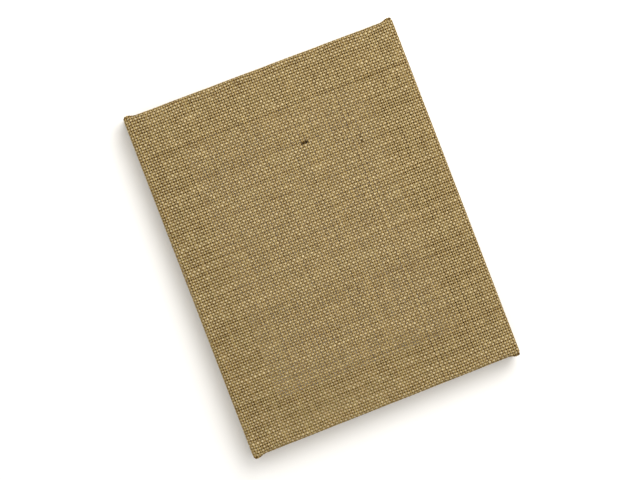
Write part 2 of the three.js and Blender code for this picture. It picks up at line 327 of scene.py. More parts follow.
@dataclass(frozen=True)
class PineFinish:
    """Planed softwood with its grain along the bar, darkened by painted shade only at its top,
    under the cloth.
    """

    early: Colour = (0.60, 0.43, 0.24)
    late: Colour = (0.42, 0.25, 0.11)
    # painted shade: the colour of the bars' top, under the cloth
    painted_shade_under_cloth: Colour = (0.07, 0.027, 0.003)
    painted_shade_depth: tuple[float, float] = (2.4 * MM, 3.2 * MM)  # where it starts to fade, and ends
    grain_scale: tuple[float, float] = (9.0, 150.0)  # features a metre, along and across the bar
    pore_scale: tuple[float, float] = (60.0, 2600.0)
    rings: float = 46.0
    roughness: float = 0.62
    uneven_roughness: float = 0.2
    sheen: float = 0.15
    pore_depth: float = 0.06 * MM

    def material(self, name: str, grain: Grain, face: float) -> Material:
        """Makes the material.

        Args:
            name: its name.
            grain: the way that the grain runs.
            face: height of the bars' face.

        Returns:
            The material.
        """
        s = Shader(name)
        place = s.objects()
        long_grain, fine_grain = (
            tuple(scale[0] if axis == grain.value else scale[1] for axis in range(3))
            for scale in (self.grain_scale, self.pore_scale)
        )
        wander = s.noise(s.stretched(place, long_grain), 1.0)
        rings = s.node("ShaderNodeMath", {0: wander * self.rings}, operation="SINE")
        pores = s.noise(s.stretched(place, fine_grain), 1.0)
        bare = s.mix((rings * 0.5 + 0.5) ** 2.0, self.early, self.late)
        height = s.node("ShaderNodeSeparateXYZ", {0: place}, "Z")
        fades, ends = self.painted_shade_depth
        # painted shade: the top of the bars, under the cloth, goes dark brown
        wood = s.mix(height.within(face - ends, face - fades), bare, self.painted_shade_under_cloth)
        return s.finish(
            Base_Color=s.shade(wood, pores * 0.3 + 0.85),
            Roughness=pores * self.uneven_roughness + (self.roughness - self.uneven_roughness / 2),
            Specular_IOR_Level=self.sheen,
            Normal=s.bump(pores, self.pore_depth, 0.6),
        )


@dataclass(frozen=True)
class SteelFinish:
    """Bright steel wire or strip, drawn along its length, with dull spots."""

    bright: Colour = (0.62, 0.63, 0.65)
    dull: Colour = (0.36, 0.355, 0.35)
    roughness: float = 0.32
    spot_scale: float = 700.0  # spots a metre
    line_scale: Triple = (900.0, 900.0, 9000.0)  # drawing lines a metre
    line_depth: float = 0.02 * MM

    def material(self, name: str) -> Material:
        """Makes the material.

        Args:
            name: its name.

        Returns:
            The material.
        """
        s = Shader(name)
        spots = s.noise(s.objects(), self.spot_scale, 3.0).within(0.42, 0.68)
        lines = s.noise(s.stretched(s.objects(), self.line_scale), 1.0, 1.0)
        return s.finish(
            Base_Color=s.mix(spots, self.bright, self.dull),
            Roughness=spots * 0.22 + (lines * 0.12 + self.roughness),
            Metallic=1.0,
            Normal=s.bump(lines, self.line_depth, 0.5),
        )


@dataclass(frozen=True)
class FloorFinish:
    """A plain pale table."""

    colour: Colour = (0.94, 0.935, 0.92)
    roughness: float = 0.8
    mottle_scale: float = 9.0  # faint clouds a metre

    def material(self, name: str) -> Material:
        """Makes the material.

        Args:
            name: its name.

        Returns:
            The material.
        """
        s = Shader(name)
        mottle = s.noise(s.objects(), self.mottle_scale)
        return s.finish(
            Base_Color=s.shade(self.colour, mottle * 0.02 + 0.99), Roughness=self.roughness
        )


# ---- The surface that the cloth follows ----


def vectors(*parts: Array | float) -> Array:
    """Makes arrays of x, y and z, or of fewer parts, into one array of vectors."""
    return np.stack(np.broadcast_arrays(*parts), axis=-1)


def eased(value: Array, low: float, high: float) -> Array:
    """Rises from 0 at low to 1 at high as three squares less two cubes, and stays there."""
    t = np.clip((value - low) / (high - low), 0.0, 1.0)
    return t * t * (3.0 - 2.0 * t)


@dataclass(frozen=True)
class Turn:
    """How the cloth's middle layer goes over one pair of opposite edges, on to the back."""

    half: float  # from the panel's centre to the outside of the cloth
    front: float  # height of the middle layer on the face
    back: float  # its height on the flap
    thickness: float = 1 * MM  # of the woven cloth, over both sets of yarns
    flap: float = 23 * MM  # from the outside of the cloth to the raw edge
    front_radius: float = 2.8 * MM  # of the middle layer, where it turns on to the side
    back_radius: float = 1.3 * MM  # and where it turns on to the back

    @property
    def reach(self) -> float:
        """From the panel's centre to the middle layer on the side."""
        return self.half - self.thickness / 2

    @property
    def face(self) -> float:
        """Length of the flat of the face, from its centre."""
        return self.reach - self.front_radius

    @property
    def side(self) -> float:
        """Length from the centre to where the cloth has turned on to the side."""
        return self.face + self.front_radius * math.pi / 2

    @property
    def foot(self) -> float:
        """Length from the centre to the end of the flat of the side."""
        return self.side + self.front - self.front_radius - self.back - self.back_radius

    @property
    def under(self) -> float:
        """Length from the centre to where the cloth has turned on to the back."""
        return self.foot + self.back_radius * math.pi / 2

    @property
    def end(self) -> float:
        """Length from the centre to the raw edge."""
        return self.under + self.flap - self.thickness / 2 - self.back_radius

    def place(self, length: Array) -> tuple[Array, Array, Array]:
        """Follows the middle layer: flat, quarter circle, flat, quarter circle, flat.

        Args:
            length: how far along the cloth, from the centre, none negative.

        Returns:
            The distance from the centre, the height, and the angle by which the cloth has
            turned from facing up.
        """
        first = np.clip((length - self.face) / self.front_radius, 0.0, math.pi / 2)
        second = np.clip((length - self.foot) / self.back_radius, 0.0, math.pi / 2)
        down = np.clip(length, self.side, self.foot) - self.side
        inwards = np.maximum(length - self.under, 0.0)
        away = (
            np.minimum(length, self.face)
            + self.front_radius * np.sin(first)
            - self.back_radius * (1.0 - np.cos(second))
            - inwards
        )
        height = (
            self.front
            - self.front_radius * (1.0 - np.cos(first))
            - down
            - self.back_radius * np.sin(second)
        )
        return away, height, first + second


class Run(Enum):
    """Which way a yarn runs."""

    LENGTHWISE = "lengthwise"
    CROSSWISE = "crosswise"


@dataclass(frozen=True)
class Fleck:
    """A piece of dark bark spun into one yarn."""

    a: float
    b: float
    run: Run
    reach: float  # from its middle to its end
    depth: float = 1.0  # how dark it is, from 0 to 1


@dataclass(frozen=True)
class Cloth:
    """The surface of the stretched cloth, with its folded corners."""

    across: Turn
    along: Turn
    ear_height: float
    pad_height: float
    staples: Array  # middle of each corner's staple, as x and y
    ear_reach: float = 9.5 * MM
    ear_tip: float = 2.4 * MM  # radius of its rounded end
    fold_radius: float = 0.4 * MM
    corner_radius: float = 1.3 * MM
    tuck: float = 4 * MM  # what is turned in behind the folded edge
    pad_slope: float = 1.5 * MM  # half of the width over which a folded corner's edge rises
    dimple: float = 0.95 * MM  # how deep a corner's staple presses
    dimple_radius: float = 2.4 * MM
    dimple_length: float = 5.5 * MM  # half of the straight part along the crown
    scallop: float = 0.55 * MM  # how far the end's rows are pulled at its staples
    scallop_pitch: float = 39.4 * MM
    scallop_depth: float = 22 * MM  # how far in from the end it fades out
    flecks: tuple[Fleck, ...] = (
        Fleck(13.1 * MM, 67.1 * MM, Run.CROSSWISE, 3.2 * MM),
        Fleck(11.8 * MM, 67.2 * MM, Run.LENGTHWISE, 1.0 * MM, 0.85),
        Fleck(21.4 * MM, 68.6 * MM, Run.LENGTHWISE, 1.2 * MM, 0.45),
        Fleck(50.4 * MM, 55.5 * MM, Run.LENGTHWISE, 2.6 * MM, 0.75),
        Fleck(19.6 * MM, 48.6 * MM, Run.CROSSWISE, 0.9 * MM, 0.5),
    )

    @classmethod
    def from_frame(cls, wire: float = 0.6 * MM) -> "Cloth":
        """Takes the surface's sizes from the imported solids.

        Args:
            wire: thickness of a staple's crown, which lies against the flap.

        Returns:
            The surface.
        """
        low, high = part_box(COVER_NODE)
        gap = high.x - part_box("side_bar_right")[1].x
        half_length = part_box("end_bar_top")[1].y + gap
        flap_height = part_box("staple_left_1")[0].z + wire
        middle = Turn.thickness / 2
        across = Turn(high.x, high.z - middle, flap_height + middle)
        ends, sides = ("top", "bottom"), ("left", "right")
        corners = [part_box(f"staple_corner_{end}_{side}") for end in ends for side in sides]
        return cls(
            across=across,
            along=replace(across, half=half_length),
            ear_height=high.y - half_length,
            pad_height=flap_height - low.z,
            staples=np.array([((a + b) / 2)[:2] for a, b in corners]),
        )

    @property
    def fold(self) -> float:
        """Length across, from the centre, at which the end cloth folds back on itself."""
        return self.across.reach - self.fold_radius

    def strained(self, a: Array, b: Array) -> tuple[Array, Array]:
        """Moves points of the cloth in its own plane, as its staples pull it.

        Near each end, the cloth is pulled furthest at the staples and lags between them, as a
        cosine that fades with the square of the distance from the end.

        Args:
            a: lengths across.
            b: lengths along.

        Returns:
            The lengths that they are pulled to.
        """
        inside = np.clip(1.0 - (self.along.half - np.abs(b)) / self.scallop_depth, 0.0, 1.0)
        beyond = np.abs(b) < self.along.side
        wave = np.cos(2 * math.pi * (a - self.scallop_pitch / 2) / self.scallop_pitch)
        middle = np.abs(a) < self.across.face
        return a, b + np.sign(b) * self.scallop * inside**2 * wave * beyond * middle

    def _raised(self, x: Array, y: Array, turned: Array) -> Array:
        """How far the end cloth stands off the end bar.

        An ear rises with an eased slope and ends in a quarter circle. On the back, the pad of a
        folded corner begins at a slanted edge, and rises over it with an eased slope too.

        Args:
            x: distances from the centre, across.
            y: distances from the centre, along.
            turned: the angles by which the cloth has turned from facing up.

        Returns:
            The heights of the ears and pads.
        """
        edge = self.across.half - x
        tip = np.clip(1.0 - edge / self.ear_tip, 0.0, 1.0)
        ear = self.ear_height * eased(-edge, -self.ear_reach, -self.ear_tip)
        ear = ear - self.ear_tip * (1.0 - np.sqrt(1.0 - tip**2))
        depth = self.along.front - self.along.back
        slant = self.across.half - depth - (self.along.half - y)
        pad = self.pad_height * eased(x - slant, -self.pad_slope, self.pad_slope)
        on_side = np.sin(turned) ** 2
        on_back = np.where(turned > math.pi / 2, np.cos(turned) ** 2, 0.0)
        return ear * on_side + pad * on_back

    def _pressed(self, points: Array, turned: Array) -> Array:
        """How far the corner staples press the cloth in: a bell round each slanted crown.

        Args:
            points: places on the cloth.
            turned: the angles by which the cloth has turned from facing up.

        Returns:
            The depths.
        """
        x, y = points[..., 0], points[..., 1]
        deep = np.zeros_like(x)
        for sx, sy in self.staples:
            slope = -math.copysign(1.0, sx * sy)
            along = ((x - sx) + slope * (y - sy)) / math.sqrt(2)
            aside = (-slope * (x - sx) + (y - sy)) / math.sqrt(2)
            past = np.maximum(np.abs(along) - self.dimple_length, 0.0)
            away = np.hypot(past, aside) / self.dimple_radius
            deep = np.maximum(deep, np.exp(-(away**2)))
        return self.dimple * deep * (turned > 0.9 * math.pi)

    def over(self, a: Array, b: Array) -> Placed:
        """Places the cloth of the face, the side walls and the ends.

        Past the end of the face, the cloth is as wide as it was, and where it reaches the
        panel's edge it folds back on itself through a half circle.

        Args:
            a: lengths across.
            b: lengths along.

        Returns:
            Points and the directions that the cloth faces there.
        """
        wide, long = np.abs(a), np.abs(b)
        x, height_a, turned_a = self.across.place(wide)
        y, height_b, turned_b = self.along.place(long)
        at_end = eased(long, self.along.face, self.along.side)
        folding = np.clip((wide - self.fold) / self.fold_radius, 0.0, math.pi)
        inside = np.maximum(wide - self.fold - math.pi * self.fold_radius, 0.0)
        flat_x = np.minimum(wide, self.fold) + self.fold_radius * np.sin(folding) - inside
        x = x * (1.0 - at_end) + flat_x * at_end
        drop = (self.across.front - height_a) * (1.0 - at_end)
        turned_a = turned_a * (1.0 - at_end)
        upright = np.cos(turned_a)
        facing = vectors(np.sin(turned_a), np.sin(turned_b) * upright, np.cos(turned_b) * upright)
        points = vectors(x, y, height_b - drop)
        sunk = self.fold_radius * (1.0 - np.cos(folding)) * at_end
        signs = vectors(np.sign(a), np.sign(b), 1.0)
        off = self._raised(x, y, turned_b) * at_end - sunk
        placed = (points + facing * off[..., None]) * signs
        placed[..., 2] += self._pressed(placed, turned_b)
        turning = (folding * at_end)[..., None]
        outwards = np.array([1.0, 0.0, 0.0])
        facing = facing * np.cos(turning) + outwards * np.sin(turning)
        return placed, facing * signs

    def round_corner(self, a: Array, b: Array) -> Placed:
        """Places the cloth of a side where it goes round the corner, behind the end cloth.

        It turns through a quarter circle about an upright line, and goes on along the end.

        Args:
            a: lengths across, past the fold.
            b: lengths along.

        Returns:
            Points and the directions that the cloth faces there.
        """
        x, height, turned = self.across.place(np.abs(a))
        centre_x = self.across.reach - self.corner_radius
        centre_y = self.along.reach - self.corner_radius
        past = np.maximum(np.abs(b) - centre_y, 0.0)
        rounding = x > centre_x
        around = np.minimum(past / self.corner_radius, math.pi / 2) * rounding
        straight = np.maximum(past - self.corner_radius * math.pi / 2, 0.0) * rounding
        arm = np.maximum(x - centre_x, 0.0)
        long = np.where(rounding, np.minimum(np.abs(b), centre_y), np.abs(b))
        signs = vectors(np.sign(a), np.sign(b), 1.0)
        points = vectors(
            np.minimum(x, centre_x) + arm * np.cos(around) - straight,
            long + arm * np.sin(around),
            height,
        )
        out = np.sin(turned)
        facing = vectors(out * np.cos(around), out * np.sin(around), np.cos(turned))
        return points * signs, facing * signs


# ---- Yarns ----


@dataclass(frozen=True)
class Ripple:
    """A smooth change along a yarn."""

    step: float  # from one knot of it to the next
    spread: float  # the knots' standard deviation


@dataclass
class Unevenness:
    """Seeded unevenness, the same each time."""

    seed: int
    rng: np.random.Generator = field(init=False)

    def __post_init__(self) -> None:
        """Starts the seeded generator."""
        self.rng = np.random.default_rng(self.seed)

    def each(self, count: int, spread: float) -> Array:
        """One normal value for each yarn, as a column."""
        return self.rng.normal(0.0, spread, (count, 1))

    def along(self, place: Array, ripple: Ripple) -> Array:
        """Smooth normal values along each yarn: knots a step apart, eased from one to the next.

        Args:
            place: how far along each yarn its rings are, one row for each yarn.
            ripple: the knots' step and spread.

        Returns:
            One value for each ring.
        """
        at = (place - place.min()) / ripple.step
        knots = self.rng.normal(0.0, ripple.spread, (len(place), int(at.max()) + 2))
        first = np.floor(at).astype(int)
        share = eased(at - first, 0.0, 1.0)
        low = np.take_along_axis(knots, first, axis=1)
        high = np.take_along_axis(knots, first + 1, axis=1)
        return low + (high - low) * share


@dataclass
class YarnShape:
    """What a set of yarns is like at each of its rings, one row for each yarn."""

    wander: Array  # to one side, in the cloth's plane
    width: Array  # in the cloth's plane
    thickness: Array  # through the cloth
    tone: Array  # how pale it is, from 0 to 1; below 0 it is bark


@dataclass
class Strands:
    """Gathers tubes of several lengths, and makes one mesh of them."""

    sides: int = 6
    rings: list[Array] = field(default_factory=list)
    tones: list[Array] = field(default_factory=list)
    crowns: list[Array] = field(default_factory=list)

    def add(self, placed: Placed, offset: Array, shape: YarnShape, depth: float) -> None:
        """Adds tubes with a flattened section: an ellipse across the way that each one runs.

        Args:
            placed: on the cloth's middle layer, for each yarn and ring.
            offset: how far the yarn's middle stands off that layer.
            shape: the yarns' widths, thicknesses and tones.
            depth: half of the cloth's thickness.
        """
        middle, facing = placed
        centre = middle + facing * offset[..., None]
        run = np.gradient(centre, axis=1)
        run /= np.linalg.norm(run, axis=-1, keepdims=True) + 1e-12
        aside = np.cross(facing, run)
        aside /= np.linalg.norm(aside, axis=-1, keepdims=True) + 1e-12
        out = np.cross(run, aside)
        angle = 2 * math.pi * np.arange(self.sides) / self.sides
        wide = (shape.width / 2)[..., None] * np.cos(angle)
        high = (shape.thickness / 2)[..., None] * np.sin(angle)
        rings = (
            centre[:, :, None, :]
            + wide[..., None] * aside[:, :, None, :]
            + high[..., None] * out[:, :, None, :]
        )
        self.rings.append(rings)
        self.tones.append(np.broadcast_to(shape.tone[..., None], wide.shape))
        # the crown: 0 at the cloth's middle layer and 1 at its faces; the finish paints shade and
        # highlight by it
        self.crowns.append(np.clip(np.abs(offset[..., None] + high) / depth, 0.0, 1.0))

    def _faces(self, count: int, length: int) -> tuple[Array, Array, Array]:
        """The faces of a set of tubes: four-sided walls, and two faces to close each end.

        Args:
            count: of tubes.
            length: rings in each.

        Returns:
            The point, the ring and the side number at each corner of each face.
        """
        s = self.sides
        yarn, ring, side = np.indices((count, length - 1, s))
        ring_at = np.stack([ring, ring, ring + 1, ring + 1], axis=-1)
        side_at = np.stack([side, side + 1, side + 1, side], axis=-1)
        yarn_at = np.broadcast_to(yarn[..., None], ring_at.shape)
        half = s // 2
        cap = np.array([[half, half - 1, half - 2, 0], [s - 1, s - 2, half, 0]])
        far = np.array([[0, half - 2, half - 1, half], [0, half, s - 2, s - 1]])
        ends = np.broadcast_to(np.stack([cap, far])[None], (count, 2, 2, 4))
        end_yarn, end_ring, _, _ = np.indices(ends.shape)
        end_ring = end_ring * (length - 1)
        yarns, rings, sides = (
            np.concatenate([wall.reshape(-1, 4), end.reshape(-1, 4)])
            for wall, end in ((yarn_at, end_yarn), (ring_at, end_ring), (side_at, ends))
        )
        return (yarns * length + rings) * s + sides % s, rings, sides + yarns * s

    def make(self, name: str) -> Piece:
        """Makes the mesh, with a map on which each yarn is one straight row.

        Args:
            name: of the piece.

        Returns:
            The piece, at the origin.
        """
        faces, maps, first, row = [], [], 0, 0
        rows = sum(len(r) for r in self.rings) * self.sides
        for rings in self.rings:
            corner, ring, side = self._faces(rings.shape[0], rings.shape[1])
            faces.append(corner + first)
            maps.append(np.stack([ring / (rings.shape[1] - 1), (side + row) / rows], axis=-1))
            first += rings.shape[0] * rings.shape[1] * self.sides
            row += rings.shape[0] * self.sides
        points = np.concatenate([r.reshape(-1, 3) for r in self.rings])
        return mesh_piece(
            name,
            points,
            np.concatenate(faces),
            np.concatenate(maps),
            {
                "tone": np.concatenate([t.reshape(-1) for t in self.tones]),
                "crown": np.concatenate([c.reshape(-1) for c in self.crowns]),
            },
        )


def added(name: str, data: bpy.types.ID) -> Piece:
    """Makes an object, and puts it in the scene.

    Args:
        name: of the object.
        data: its mesh, lamp or camera.

    Returns:
        The object, at the origin.
    """
    made = bpy.data.objects.new(name, data)
    bpy.context.scene.collection.objects.link(made)
    return made


def mesh_piece(
    name: str, points: Array, faces: Array, corners: Array, numbers: dict[str, Array]
) -> Piece:
    """Makes a smooth mesh of four-sided faces.

    Args:
        name: of the piece.
        points: its points.
        faces: the four points of each face.
        corners: the map's place for each corner of each face.
        numbers: the numbers that each point holds, by name.

    Returns:
        The piece, at the origin and in the scene.
    """
    mesh = bpy.data.meshes.new(name)
    mesh.vertices.add(len(points))
    mesh.vertices.foreach_set("co", points.astype(np.float32).ravel())
    mesh.loops.add(faces.size)
    mesh.loops.foreach_set("vertex_index", faces.astype(np.int32).ravel())
    mesh.polygons.add(len(faces))
    mesh.polygons.foreach_set("loop_start", np.arange(0, faces.size, 4, dtype=np.int32))
    mesh.update(calc_edges=True)
    layer = mesh.uv_layers.new(name=BAKE_MAP)
    layer.data.foreach_set("uv", corners.astype(np.float32).ravel())
    for key, values in numbers.items():
        held = mesh.attributes.new(key, "FLOAT", "POINT")
        held.data.foreach_set("value", values.astype(np.float32))
    mesh.shade_smooth()
    return added(name, mesh)


def stand_for_cover(piece: Piece, material: Material) -> None:
    """Finishes a piece of the cloth, hangs it on the panel's body, and hides the plain solid that
    it replaces.

    Args:
        piece: the piece.
        material: its finish.
    """
    piece.data.materials.append(material)
    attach(piece, BODY)
    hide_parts(COVER_NODE)
    log.info("%s: %d faces", piece.name, len(piece.data.polygons))


@dataclass(frozen=True)
class Yarn:
    """One of the cloth's two sets of yarns, and how uneven it is."""

    pitch: float  # from one yarn to the next
    width: float
    uneven_tone: float  # from one yarn to the next
    even: float = 1.0  # 1 where even yarns are over at the panel's centre line, -1 where under
    thickness: float = 0.5 * MM
    rise: float = 0.25 * MM  # of its middle over the middle of the cloth, beside a crossing
    uneven_place: float = 0.07 * MM
    uneven_width: float = 0.09
    wander: Ripple = Ripple(14 * MM, 0.05 * MM)
    slubs: Ripple = Ripple(11 * MM, 1.0)
    slub_from: float = 1.5  # only what is over this many standard deviations is a slub
    slub_width: float = 0.5
    slub_tone: float = 0.2
    swell: Ripple = Ripple(6 * MM, 0.07)
    knobs: Ripple = Ripple(0.9 * MM, 0.06)
    width_limits: tuple[float, float] = (0.66, 1.4)  # times the width
    slow_tone: Ripple = Ripple(9 * MM, 0.08)
    quick_tone: Ripple = Ripple(3.6 * MM, 0.22)

    def drawn(self, uneven: Unevenness, run: Array) -> YarnShape:
        """Draws each yarn's unevenness.

        Args:
            uneven: where the values come from.
            run: how far along each yarn its rings are.

        Returns:
            The yarns' shape at each ring.
        """
        count = len(run)
        wander = uneven.each(count, self.uneven_place) + uneven.along(run, self.wander)
        slub = np.maximum(uneven.along(run, self.slubs) - self.slub_from, 0.0) * self.slub_width
        size = (
            1.0
            + uneven.each(count, self.uneven_width)
            + uneven.along(run, self.swell)
            + uneven.along(run, self.knobs)
            + slub
        )
        size = np.clip(size, *self.width_limits)
        tone = (
            0.5
            + uneven.each(count, self.uneven_tone)
            + uneven.along(run, self.slow_tone)
            + uneven.along(run, self.quick_tone)
            + slub * self.slub_tone
        )
        return YarnShape(
            wander, self.width * size, self.thickness * size**0.5, np.clip(tone, 0.0, 1.0)
        )

    def offset(self, own: Array, run: Array, crossed: float) -> Array:
        """How far the yarns stand off the middle layer: over one crossing and under the next.

        It is a cosine with its crests on the crossings. The rings are an eighth of its wave to
        either side of them, where it is as high as the rise.

        Args:
            own: each yarn's number.
            run: how far along each yarn its rings are.
            crossed: the spacing of the yarns that they cross.

        Returns:
            The offset at each ring.
        """
        sign = np.where(own % 2 == 0, self.even, -self.even)[:, None]
        return sign * self.rise * math.sqrt(2) * np.cos(math.pi * run / crossed)


@dataclass(frozen=True)
class Group:
    """Yarns of one set that take the same way over the panel."""

    numbers: Array  # counted from the panel's centre line
    place: Callable[[Array, Array], Placed]  # where their lengths across and along lie
    reach: float  # from the middle of each to its end
    fray: float  # how far they stick out of the raw edge, at most


@dataclass
class Burlap:
    """The cloth: two sets of yarns, held as bundles of neighbours."""

    cloth: Cloth
    lengthwise: Yarn = Yarn(pitch=1.68 * MM, width=0.95 * MM, uneven_tone=0.11)
    crosswise: Yarn = Yarn(pitch=1.92 * MM, width=1.34 * MM, uneven_tone=0.045, even=-1.0)
    bundles: int = 4  # of each set
    fray: float = 1.3 * MM  # how far yarns stick out of a raw edge, at most
    behind_end: float = 4 * MM  # what a side's yarns run on for behind the end cloth
    short_of_end: float = 1 * MM  # what the flap's yarns stop short by instead
    past_foot: float = 1 * MM  # from the foot of the side to the first of those
    post_reach: float = 3.5 * MM  # from the end's middle layer to the last corner post
    post_wander: float = 0.5  # share of the usual wander that the posts have
    first_seeds: tuple[int, int] = (110, 210)  # lengthwise and crosswise
    pieces: dict[Run, list[Piece]] = field(default_factory=dict)
    finishes: dict[Run, Material] = field(default_factory=dict)

    def _pair(self, run: Run) -> tuple[Yarn, Yarn]:
        """A set's own yarn, and the yarn that it crosses."""
        pair = self.lengthwise, self.crosswise
        return pair if run is Run.LENGTHWISE else pair[::-1]

    @staticmethod
    def _ring_lengths(reach: float, step: float) -> Array:
        """Places on both sides of each crossing, from -reach to reach."""
        half = int(reach / step * 2)
        return (np.arange(-half, half) + 0.5) * step / 2

    def _fleck_place(self, fleck: Fleck) -> tuple[int, float]:
        """Finds the yarn that holds a fleck, and the fleck's middle along it.

        On a crosswise yarn, the middle is moved to where a lengthwise yarn crosses over, so that
        the fleck shows on both sides of it.

        Args:
            fleck: the fleck.

        Returns:
            The yarn's number, and the length.
        """
        if fleck.run is Run.LENGTHWISE:
            return round(fleck.a / self.lengthwise.pitch), fleck.b
        number, across = round(fleck.b / self.crosswise.pitch), fleck.a / self.lengthwise.pitch
        return number, (number + 2 * round((across - number) / 2)) * self.lengthwise.pitch

    def _groups(self, run: Run, numbers: Array) -> list[Group]:
        """Sorts yarns by the way that they take.

        Lengthwise ones go over the ends, or round the corners: the side's run on behind the end
        cloth and the flap's stop short of it. Crosswise ones go over the sides, or fold back.

        Args:
            run: which set.
            numbers: the yarns' numbers.

        Returns:
            The groups that hold any.
        """
        cloth, fray = self.cloth, self.fray
        start = np.abs(numbers * self._pair(run)[0].pitch)
        if run is Run.LENGTHWISE:
            full, under = start <= cloth.fold, start >= cloth.across.foot + self.past_foot
            end = cloth.along.reach
            groups = [
                Group(numbers[full], cloth.over, cloth.along.end, fray),
                Group(numbers[~full & ~under], cloth.round_corner, end + self.behind_end, fray),
                Group(numbers[under], cloth.round_corner, end - self.short_of_end, fray),
            ]
        else:
            full = start <= cloth.along.face
            folded = cloth.fold + math.pi * cloth.fold_radius + cloth.tuck
            groups = [
                Group(numbers[full], cloth.over, cloth.across.end, fray),
                Group(numbers[~full], cloth.over, folded, 0.0),
            ]
        return [group for group in groups if len(group.numbers)]

    def _lay(self, strands: Strands, uneven: Unevenness, run: Run, group: Group) -> None:
        """Lays a group's yarns along the cloth. A fleck is a flat-topped bell of bark on one.

        Args:
            strands: what they go into.
            uneven: where their unevenness comes from.
            run: which set they are of.
            group: the yarns.
        """
        cloth, own, (yarn, crossed) = self.cloth, group.numbers, self._pair(run)
        rings = self._ring_lengths(group.reach, crossed.pitch)
        length = np.tile(rings, (len(own), 1))
        shape = yarn.drawn(uneven, length)
        length[:, 0] -= uneven.rng.uniform(0.0, group.fray, len(own))
        length[:, -1] += uneven.rng.uniform(0.0, group.fray, len(own))
        for fleck in cloth.flecks:
            if fleck.run is run:
                number, middle = self._fleck_place(fleck)
                bell = np.exp(-(((length - middle) / fleck.reach) ** 6))
                share = (own == number)[:, None] * bell
                shape.tone = shape.tone * (1.0 - share) - fleck.depth * share
        start = own[:, None] * yarn.pitch + shape.wander
        a, b = (start, length) if run is Run.LENGTHWISE else (length, start)
        offset = yarn.offset(own, length, crossed.pitch)
        strands.add(group.place(*cloth.strained(a, b)), offset, shape, cloth.across.thickness / 2)

    def _add_corner_posts(self, strands: Strands, end: float, uneven: Unevenness) -> None:
        """Adds the short crosswise yarns that stand behind the folded edges, at both sides.

        Args:
            strands: what they go into.
            end: 1 for the top end, -1 for the bottom one.
            uneven: where their unevenness comes from.
        """
        yarn, cloth = self.crosswise, self.cloth
        first = math.ceil(cloth.along.face / yarn.pitch)
        last = int((cloth.along.reach + self.post_reach) / yarn.pitch)
        own = np.arange(first, last + 1)
        rings = self._ring_lengths(cloth.across.foot, self.lengthwise.pitch)
        rings = rings[rings > cloth.fold]
        for side in (-1.0, 1.0):
            a = np.tile(rings * side, (len(own), 1))
            shape = yarn.drawn(uneven, a)
            b = own[:, None] * yarn.pitch * end + shape.wander * self.post_wander
            offset = yarn.offset(own, a, self.lengthwise.pitch)
            strands.add(cloth.round_corner(a, b), offset, shape, cloth.across.thickness / 2)

    def _numbers(self, run: Run) -> list[Array]:
        """Numbers a set's yarns from the centre line, and splits them into bundles.

        Args:
            run: which set.

        Returns:
            The numbers in each bundle.
        """
        turn = self.cloth.across if run is Run.LENGTHWISE else self.cloth.along
        half = int(turn.end / self._pair(run)[0].pitch)
        return np.array_split(np.arange(-half, half + 1), self.bundles)

    def build(self) -> None:
        """Makes the bundles of both sets."""
        for run, seed in zip(Run, self.first_seeds):
            self.pieces[run] = []
            for k, numbers in enumerate(self._numbers(run)):
                strands, uneven = Strands(), Unevenness(seed + k)
                for group in self._groups(run, numbers):
                    self._lay(strands, uneven, run, group)
                if run is Run.CROSSWISE and k in (0, self.bundles - 1):
                    self._add_corner_posts(strands, 1.0 if k > 0 else -1.0, uneven)
                self.pieces[run].append(strands.make(f"burlap_{run.value}_{k + 1}"))

    def dress(self, finishes: dict[Run, BurlapFinish]) -> None:
        """Gives every bundle its finish.

        A bundle's flat area is what its yarns cover of their strip of the cloth.

        Args:
            finishes: the finish of each set.
        """
        width, length = 2 * self.cloth.across.end, 2 * self.cloth.along.end
        strips = {
            Run.LENGTHWISE: (width / self.bundles, length),
            Run.CROSSWISE: (width, length / self.bundles),
        }
        for run, strip in strips.items():
            yarn, _ = self._pair(run)
            yarns = sum(len(numbers) for numbers in self._numbers(run)) // self.bundles
            self.finishes[run] = finishes[run].material(f"burlap_{run.value}", yarns)
            area = strip[0] * strip[1] * yarn.width / yarn.pitch
            for piece in self.pieces[run]:
                stand_for_cover(piece, self.finishes[run])


